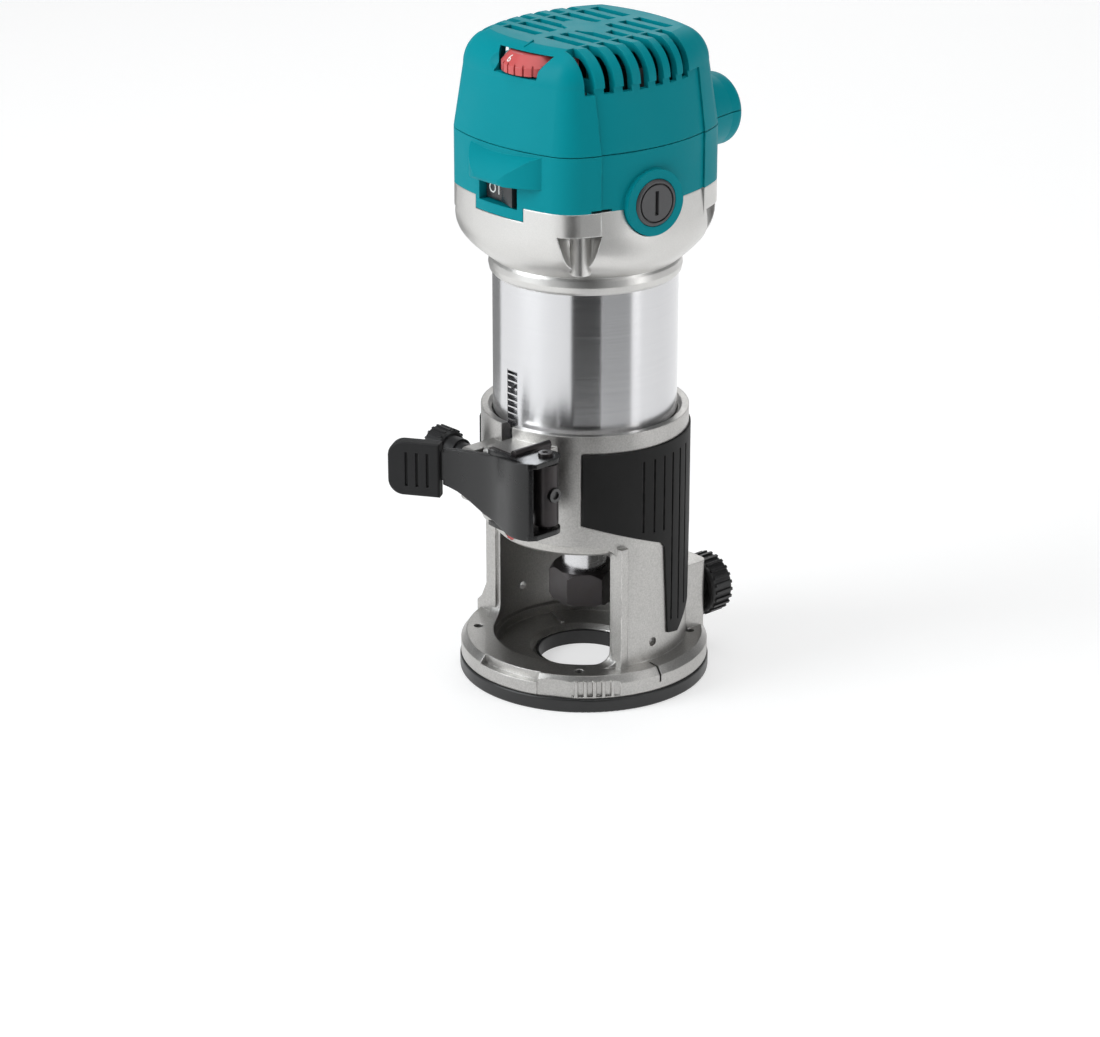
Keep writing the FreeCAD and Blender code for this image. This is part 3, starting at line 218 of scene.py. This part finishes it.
def rings(tree, pitch_mm, distortion=0.4):
    """Fine lathe rings round the Z axis."""
    place = tree.nodes.new("ShaderNodeTexCoord")
    wave = tree.nodes.new("ShaderNodeTexWave")
    wave.wave_type = "BANDS"
    wave.bands_direction = "Z"
    wave.inputs["Scale"].default_value = 0.314 / (pitch_mm * MM)
    wave.inputs["Distortion"].default_value = distortion
    wave.inputs["Detail"].default_value = 2.0
    tree.links.new(place.outputs["Object"], wave.inputs["Vector"])
    return wave.outputs["Fac"]


def turned_aluminium():
    """Bright turned barrel: fine tool rings and a gloss that draws reflections out lengthwise."""
    mat, tree, shader = new_shader("turned_aluminium", (0.66, 0.66, 0.675), 0.2, metallic=1.0)
    shader.inputs["Anisotropic"].default_value = 0.85
    shader.inputs["Anisotropic Rotation"].default_value = 0.25
    around = tree.nodes.new("ShaderNodeTangent")
    around.direction_type = "RADIAL"
    around.axis = "Z"
    tree.links.new(around.outputs["Tangent"], shader.inputs["Tangent"])
    fine = noise(tree, 3.0, 4.0, 0.6, (0.06, 0.06, 12.0))
    body = blend_colours(tree, fine, (0.62, 0.62, 0.635), (0.74, 0.74, 0.75))
    tree.links.new(body, shader.inputs["Base Color"])
    tree.links.new(remap(tree, fine, 0.17, 0.23), shader.inputs["Roughness"])
    bump(tree, shader, [(rings(tree, 0.25), 0.0012), (fine, 0.004)], 0.2)
    return mat


def steel(name, colour, roughness, grain=(1, 1, 14), size_mm=1.6):
    """Ground or plated steel with a directional grain."""
    mat, tree, shader = new_shader(name, colour, roughness, metallic=1.0)
    lines = noise(tree, size_mm, 4.0, 0.6, grain)
    body = blend_colours(tree, lines, tint(colour, 0.85), tint(colour, 1.15))
    tree.links.new(body, shader.inputs["Base Color"])
    tree.links.new(remap(tree, lines, roughness * 0.8, roughness * 1.3), shader.inputs["Roughness"])
    bump(tree, shader, [(lines, 0.004)], 0.25)
    return mat


def black_lacquer():
    """Glossy black paint over pressed steel, with a little orange peel."""
    colour = (0.006, 0.006, 0.0065)
    mat, tree, shader = new_shader("black_lacquer", colour, 0.24, specular=0.35, coat=0.3, coat_roughness=0.1)
    worn = blend_colours(tree, edge_wear(tree, 0.5, 0.05, 0.4), colour, (0.05, 0.05, 0.05))
    tree.links.new(worn, shader.inputs["Base Color"])
    tree.links.new(remap(tree, noise(tree, 8.0, 4.0), 0.17, 0.3), shader.inputs["Roughness"])
    bump(tree, shader, [(noise(tree, 3.0, 1.0), 0.012)], 1.0)
    return mat


def black_oxide():
    """Chemically blacked steel: dark, faintly brown, soft sheen."""
    colour = (0.035, 0.032, 0.032)
    mat, tree, shader = new_shader("black_steel", colour, 0.3, metallic=0.8)
    patches = noise(tree, 5.0, 4.0)
    body = blend_colours(tree, patches, (0.04, 0.038, 0.042), (0.075, 0.066, 0.064))
    worn = blend_colours(tree, edge_wear(tree, 0.4), body, (0.2, 0.19, 0.18))
    tree.links.new(worn, shader.inputs["Base Color"])
    tree.links.new(remap(tree, patches, 0.28, 0.42), shader.inputs["Roughness"])
    bump(tree, shader, [(noise(tree, 0.6, 3.0), 0.01)], 0.4)
    return mat


def rubber(name, colour, grain_mm=0.45, depth=0.03, roughness=0.58):
    """Soft rubber: dull, with a fine leathery grain and a dusty sheen on edges."""
    mat, tree, shader = new_shader(name, colour, roughness, specular=0.22)
    dust = remap(tree, noise(tree, 10.0, 4.0), 0.0, 0.6)
    body = blend_colours(tree, dust, colour, tint(colour, 1.5))
    worn = blend_colours(tree, edge_wear(tree, 0.5), body, (0.045, 0.045, 0.045))
    tree.links.new(worn, shader.inputs["Base Color"])
    bump(tree, shader, [(noise(tree, grain_mm, 2.0), depth)], 0.5)
    return mat


def laminated():
    """Stacked core sheets."""
    mat, tree, shader = new_shader("core_steel", (0.3, 0.3, 0.32), 0.4, metallic=1.0)
    sheets = rings(tree, 0.6, 0.0)
    body = blend_colours(tree, sheets, (0.16, 0.16, 0.17), (0.4, 0.4, 0.42))
    tree.links.new(body, shader.inputs["Base Color"])
    bump(tree, shader, [(sheets, 0.05)])
    return mat


def enamelled_wire():
    """Copper windings under clear enamel."""
    mat, tree, shader = new_shader("copper_wire", (0.62, 0.28, 0.12), 0.28, metallic=0.9, coat=0.4)
    turns = rings(tree, 0.7, 2.5)
    body = blend_colours(tree, turns, (0.36, 0.13, 0.05), (0.74, 0.36, 0.17))
    tree.links.new(body, shader.inputs["Base Color"])
    bump(tree, shader, [(turns, 0.2)])
    return mat


def white_print():
    return moulded("white_print", (0.82, 0.82, 0.8), 0.5, 0.3, 0.01, 0.0)


FINISHES = {
    "cast_aluminium": cast_aluminium(),
    "satin_aluminium": satin_aluminium(),
    "turned_aluminium": turned_aluminium(),
    "black_plastic": moulded("black_plastic", (0.013, 0.013, 0.0135), 0.38, 0.5, 0.02, spread=0.2),
    "switch_black": moulded("switch_black", (0.02, 0.02, 0.022), 0.3, 1.2, 0.008, 0.3),
    "soft_black": rubber("soft_black", (0.014, 0.014, 0.0145), 0.5, 0.025, 0.5),
    "grip_rubber": rubber("grip_rubber", (0.009, 0.009, 0.009)),
    "black_lacquer": black_lacquer(),
    "black_steel": black_oxide(),
    "dark_steel": steel("dark_steel", (0.1, 0.1, 0.1), 0.35),
    "bright_steel": steel("bright_steel", (0.66, 0.66, 0.67), 0.24),
    "bronze": steel("bronze", (0.5, 0.33, 0.16), 0.4, (1, 1, 1), 0.5),
    "pale_plastic": cast_aluminium("pale_casting", (0.5, 0.49, 0.47), 0.8, 0.04, 0.1),
    "red_plastic": moulded("red_plastic", (0.55, 0.085, 0.085), 0.34, 0.6, 0.012, 0.25),
    "teal_plastic": teal_plastic(),
    "grey_plastic": moulded("grey_plastic", (0.075, 0.075, 0.078), 0.4, 0.5, 0.015, 0.25),
    "core_steel": laminated(),
    "copper_wire": enamelled_wire(),
    "brass_parts": steel("brass_parts", (0.72, 0.52, 0.2), 0.3, (1, 1, 1), 0.8),
    "carbon": moulded("carbon", (0.04, 0.04, 0.043), 0.45, 0.3, 0.02, 0.1),
    "board_green": moulded("board_green", (0.02, 0.16, 0.06), 0.35, 2.0, 0.01, 0.1, 0.3),
    "wire_sheath": moulded("wire_sheath", (0.03, 0.03, 0.25), 0.4, 0.8, 0.01, 0.0),
}
WHITE = white_print()

for part in record["subparts"]:
    for holder in nodes[part["node"]].material_slots:
        holder.material = FINISHES[part["material_slot"]]


# ---------------------------------------------------------------- placing
def add_piece(name, mesh, material, body):
    """Puts a mesh in the scene as a piece that rides on a body."""
    piece = bpy.data.objects.new(name, mesh)
    bpy.context.scene.collection.objects.link(piece)
    mesh.materials.append(material)
    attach(piece, body)
    return piece


def label(name, text, size, place, right, up, body, thickness=0.12):
    """A raised character whose baseline runs along right and whose height runs along up."""
    curve = bpy.data.curves.new(name, "FONT")
    curve.body = text
    curve.size = size
    curve.align_x = "CENTER"
    curve.align_y = "CENTER"
    curve.extrude = thickness / 2 * MM
    curve.materials.append(WHITE)
    piece = bpy.data.objects.new(name, curve)
    bpy.context.scene.collection.objects.link(piece)
    out = right.cross(up)
    turn = Matrix((right, up, out)).transposed().to_4x4()
    piece.matrix_world = Matrix.Translation(place) @ turn
    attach(piece, body)
    return piece


# ---------------------------------------------------------------- dial numerals
def dial_numerals():
    """Numbers on the dial's bevel, one for each setting."""
    low, high = (Vector(corner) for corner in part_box("speed_dial"))
    middle = (low + high) / 2
    rim = (high.x - low.x) / 2
    bevel_drop = 3.6 * MM
    bevel_in = 3.2 * MM
    slope = math.atan2(bevel_in, bevel_drop)
    for i in range(6):
        angle = math.radians(-103 + 45 * (i - 5))
        outward = Vector((math.cos(angle), math.sin(angle), 0))
        right = Vector((-outward.y, outward.x, 0))
        up = Vector((0, 0, math.cos(slope))) - outward * math.sin(slope)
        facing = right.cross(up)
        place = middle + outward * (rim - bevel_in / 2)
        place.z = high.z - bevel_drop / 2
        number = str(i + 1)
        place += facing * 0.04 * MM
        label("dial_number_" + number, number, 4.2 * MM, place, right, up, "speed_wheel")


dial_numerals()


def on_surface(node, start, direction):
    """Where a ray first meets a CAD node, and the surface's direction there."""
    hit, place, normal, _ = nodes[node].ray_cast(start, direction)
    if not hit:
        raise ValueError("no surface of %s under the ray" % node)
    return place, normal


def dial_pointer():
    """Short raised arrow on the cover that the dial's numbers are read against."""
    low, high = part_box("speed_dial")
    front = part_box("top_cover")[0][1]
    start = Vector(((low[0] + high[0]) / 2 - 1.0 * MM, front + 11.5 * MM, 0.3))
    place, normal = on_surface("top_cover", start, Vector((0, 0, -1)))
    down = Vector((0, -1, 0))
    down = (down - normal * down.dot(normal)).normalized()
    side = normal.cross(down)
    mesh = bpy.data.meshes.new("dial_pointer")
    build = bmesh.new()
    outline = ((-0.25, -2.2), (0.25, -2.2), (0.55, 0.6), (0.0, 2.2), (-0.55, 0.6))
    lower = [build.verts.new(place + side * x * MM + down * y * MM - normal * 0.4 * MM) for x, y in outline]
    upper = [build.verts.new(place + side * x * MM + down * y * MM + normal * 0.22 * MM) for x, y in outline]
    build.faces.new(upper)
    build.faces.new(list(reversed(lower)))
    for i in range(len(outline)):
        k = (i + 1) % len(outline)
        build.faces.new((lower[i], lower[k], upper[k], upper[i]))
    bmesh.ops.recalc_face_normals(build, faces=build.faces)
    bmesh.ops.bevel(build, geom=build.edges[:], offset=0.08 * MM, segments=2, affect="EDGES")
    build.to_mesh(mesh)
    build.free()
    add_piece("dial_pointer", mesh, FINISHES["teal_plastic"], "motor")


dial_pointer()


# ---------------------------------------------------------------- switch marks
def switch_marks():
    """The two generic marks of a rocker switch, on its left slope."""
    ridge_x = 1.0 * MM       # where the left slope meets the rocker's middle
    ridge_y = -39.4 * MM
    outer_y = -38.6 * MM     # the slope's outer end
    low, high = (Vector(corner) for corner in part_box("switch_rocker"))
    height = high.z - low.z
    middle = Vector((ridge_x, ridge_y, (low.z + high.z) / 2))
    edge = Vector((low.x, outer_y, middle.z))
    right = (middle - edge).normalized()
    up = Vector((0, 0, 1))
    for name, text, along in (("switch_mark_o", "O", 0.42), ("switch_mark_i", "I", 0.84)):
        place = edge.lerp(middle, along) + right.cross(up) * 0.05 * MM
        label(name, text, height * 0.62, place, right, up, "power_switch", 0.16)


switch_marks()


# ---------------------------------------------------------------- springs
def helix_mesh(name, start, direction, side, radius, wire, turns, length):
    """A coil spring as a swept round wire."""
    other = direction.cross(side)
    curve = bpy.data.curves.new(name, "CURVE")
    curve.dimensions = "3D"
    curve.bevel_depth = wire
    curve.bevel_resolution = 3
    steps = turns * 16
    spline = curve.splines.new("POLY")
    spline.points.add(steps)
    for i in range(steps + 1):
        angle = 2 * math.pi * i / 16
        around = side * math.cos(angle) + other * math.sin(angle)
        point = start + direction * (length * i / steps) + around * radius
        spline.points[i].co = (*point, 1.0)
    holder = bpy.data.objects.new(name + "_curve", curve)
    mesh = bpy.data.meshes.new_from_object(holder)
    bpy.data.objects.remove(holder)
    bpy.data.curves.remove(curve)
    return mesh


def shaft_lock_coil():
    low, high = (Vector(corner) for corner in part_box("shaft_lock_spring"))
    middle = (low + high) / 2
    start = Vector((middle.x, low.y + 0.4 * MM, middle.z))
    mesh = helix_mesh("shaft_lock_coil", start, Vector((0, 1, 0)), Vector((1, 0, 0)),
                      (high.x - low.x) / 2 - 0.4 * MM, 0.35 * MM, 7, high.y - low.y - 0.8 * MM)
    coil = add_piece("shaft_lock_coil", mesh, FINISHES["bright_steel"], "shaft_lock")
    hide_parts("shaft_lock_spring")


shaft_lock_coil()


# ---------------------------------------------------------------- stage
def make_floor():
    mesh = bpy.data.meshes.new("floor")
    half = 40.0
    z = cad_bounds[0][2]
    corners = [(-half, -half, z), (half, -half, z), (half, half, z), (-half, half, z)]
    mesh.from_pydata(corners, [], [(0, 1, 2, 3)])
    floor = bpy.data.objects.new("floor", mesh)
    bpy.context.scene.collection.objects.link(floor)
    mat, tree, shader = new_shader("floor_paper", (0.5, 0.5, 0.5), 0.8, specular=0.1)
    shader.inputs["Emission Color"].default_value = (1.0, 1.0, 1.0, 1.0)
    shader.inputs["Emission Strength"].default_value = 0.58
    fibre = noise(tree, 6.0, 3.0)
    paper = blend_colours(tree, fibre, (0.49, 0.49, 0.49), (0.51, 0.51, 0.51))
    tree.links.new(paper, shader.inputs["Base Color"])
    mesh.materials.append(mat)


def add_light(name, azimuth, elevation, distance, size, power, colour=(1, 1, 1), height=0.12):
    """Soft box aimed at the object; azimuth as in the camera's."""
    data = bpy.data.lights.new(name, "AREA")
    data.shape = "RECTANGLE"
    data.size = size[0]
    data.size_y = size[1]
    data.energy = power
    data.color = colour
    lamp = bpy.data.objects.new(name, data)
    bpy.context.scene.collection.objects.link(lamp)
    a = math.radians(azimuth)
    e = math.radians(elevation)
    back = Vector((math.sin(a) * math.cos(e), -math.cos(a) * math.cos(e), math.sin(e)))
    lamp.location = Vector((0, 0, height)) + back * distance
    lamp.rotation_euler = back.to_track_quat("Z", "Y").to_euler()


def add_card(name, azimuth, distance, width, height, shade):
    """Upright studio card that only reflections see; it gives bright metal its dark bands."""
    a = math.radians(azimuth)
    back = Vector((math.sin(a), -math.cos(a), 0))
    side = Vector((math.cos(a), math.sin(a), 0)) * (width / 2)
    foot = back * distance + Vector((0, 0, cad_bounds[0][2] + 1 * MM))
    rise = Vector((0, 0, height))
    mesh = bpy.data.meshes.new(name)
    mesh.from_pydata([foot - side, foot + side, foot + side + rise, foot - side + rise], [], [(0, 1, 2, 3)])
    card = bpy.data.objects.new(name, mesh)
    bpy.context.scene.collection.objects.link(card)
    mat, tree, shader = new_shader(name, (shade, shade, shade), 0.9, specular=0.05)
    weave = noise(tree, 4.0, 3.0)
    colours = blend_colours(tree, weave, (shade * 0.9,) * 3, (shade * 1.1,) * 3)
    tree.links.new(colours, shader.inputs["Base Color"])
    mesh.materials.append(mat)
    card.visible_camera = False
    card.visible_diffuse = False
    card.visible_shadow = False


def make_world():
    world = bpy.data.worlds.new("studio")
    bpy.context.scene.world = world
    world.use_nodes = True
    tree = world.node_tree
    sky = tree.nodes["Background"]
    direction = tree.nodes.new("ShaderNodeTexCoord")
    split = tree.nodes.new("ShaderNodeSeparateXYZ")
    tree.links.new(direction.outputs["Generated"], split.inputs["Vector"])
    ramp = tree.nodes.new("ShaderNodeValToRGB")
    stops = ramp.color_ramp.elements
    for stop, place, value in ((stops[0], 0.04, 0.5), (stops[1], 0.2, 0.15)):
        stop.position = place
        stop.color = (value * 0.97, value * 0.985, value, 1.0)
    tree.links.new(split.outputs["Z"], ramp.inputs["Fac"])
    tree.links.new(ramp.outputs["Color"], sky.inputs["Color"])


def make_camera():
    back = Vector((
        math.sin(VIEW_AZIMUTH) * math.cos(VIEW_ELEVATION),
        -math.cos(VIEW_AZIMUTH) * math.cos(VIEW_ELEVATION),
        math.sin(VIEW_ELEVATION),
    ))
    right = Vector((math.cos(VIEW_AZIMUTH), math.sin(VIEW_AZIMUTH), 0))
    up = back.cross(right)
    place = Vector((0, 0, AIM_HEIGHT)) + back * VIEW_DISTANCE
    aim = Vector((0, 0, AIM_HEIGHT)) - right * AIM_LEFT - up * AIM_DOWN
    data = bpy.data.cameras.new("photo_view")
    data.sensor_width = 36.0
    data.lens = VIEW_LENS
    data.clip_start = 0.01
    data.clip_end = 100.0
    camera = bpy.data.objects.new("photo_view", data)
    bpy.context.scene.collection.objects.link(camera)
    camera.location = place
    camera.rotation_euler = (place - aim).to_track_quat("Z", "Y").to_euler()
    bpy.context.scene.camera = camera


make_floor()
make_world()
add_light("key_left", -22, 30, 1.6, (0.8, 1.2), 19, (0.95, 0.98, 1.0))
add_light("top_soft", 40, 88, 1.5, (1.4, 1.4), 12)
add_light("strip_right", 112, 16, 1.4, (0.22, 1.2), 3.2)
add_light("back_rim", 220, 30, 1.7, (1.0, 0.8), 5)
add_card("card_dark", 49, 0.24, 0.15, 0.5, 0.03)
add_card("card_grey", 85, 0.24, 0.155, 0.5, 0.42)
add_card("card_left", -100, 0.28, 0.24, 0.5, 0.36)
make_camera()
bpy.context.scene.view_settings.view_transform = "Standard"
